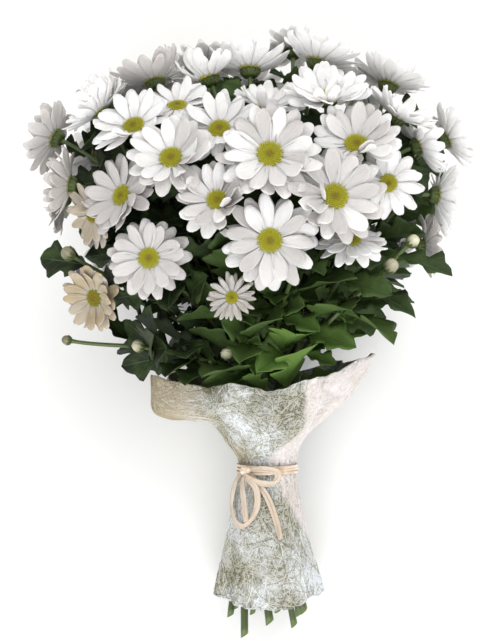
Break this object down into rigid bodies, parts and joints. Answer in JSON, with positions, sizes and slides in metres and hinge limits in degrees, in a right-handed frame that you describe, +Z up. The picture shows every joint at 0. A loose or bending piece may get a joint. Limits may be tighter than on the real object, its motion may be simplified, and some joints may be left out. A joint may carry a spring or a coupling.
{
  "type": "bunch of chrysanthemums",
  "caption": "Tied bunch of white daisy-flowered spray chrysanthemums with dark lobed leaves, in a flared fibre wrap with a ribbon bow, lying on its back.",
  "frame": {"origin": "on the table, under the middle of the laid bunch's box", "axes": "+Z up off the table and towards the front of the bunch, +Y along the bunch from its cut stem ends towards the crown of its blooms, +X to the right of the bunch as seen from above with its crown up"},
  "size_m": [0.337, 0.4504, 0.2388],
  "materials": {
    "petal": "soft matte white petal with fine lengthwise grooves, cream at the root, round a yellow-green disc of florets",
    "leaf": "dark green veined leaf and ribbed green stem, slightly glossy",
    "wrap": "cream web of random long plant fibres, matte and partly see-through",
    "ribbon": "thin pale pink satin ribbon"
  },
  "bodies": {
    "root": {"bloom_01": "petal", "bloom_02": "petal", "bloom_03": "petal", "bloom_04": "petal", "bloom_05": "petal", "bloom_06": "petal", "bloom_07": "petal", "bloom_08": "petal", "bloom_09": "petal", "bloom_10": "petal", "bloom_11": "petal", "bloom_12": "petal", "bloom_13": "petal", "bloom_14": "petal", "bloom_15": "petal", "bloom_16": "petal", "bloom_17": "petal", "bloom_18": "petal", "bloom_19": "petal", "bloom_20": "petal", "bloom_21": "petal", "bloom_22": "petal", "bloom_23": "petal", "bloom_24": "petal", "bloom_25": "petal", "bloom_26": "petal", "bloom_27": "petal", "bloom_28": "petal", "bloom_29": "petal", "bloom_30": "petal", "bloom_31": "petal", "bloom_32": "petal", "bloom_33": "petal", "bloom_34": "petal", "bloom_35": "petal", "bloom_36": "petal", "bloom_37": "petal", "bloom_38": "petal", "bloom_39": "petal", "bloom_40": "petal", "bloom_41": "petal", "bloom_42": "petal", "bloom_43": "petal", "bloom_44": "petal", "bloom_45": "petal", "bloom_46": "petal", "bloom_47": "petal", "bloom_48": "petal", "spray_0": "leaf", "spray_1": "leaf", "spray_2": "leaf", "spray_3": "leaf", "spray_4": "leaf", "spray_5": "leaf", "spray_6": "leaf", "spray_7": "leaf", "spray_8": "leaf", "wrap": "wrap", "ribbon": "ribbon"}
  },
  "joints": []
}
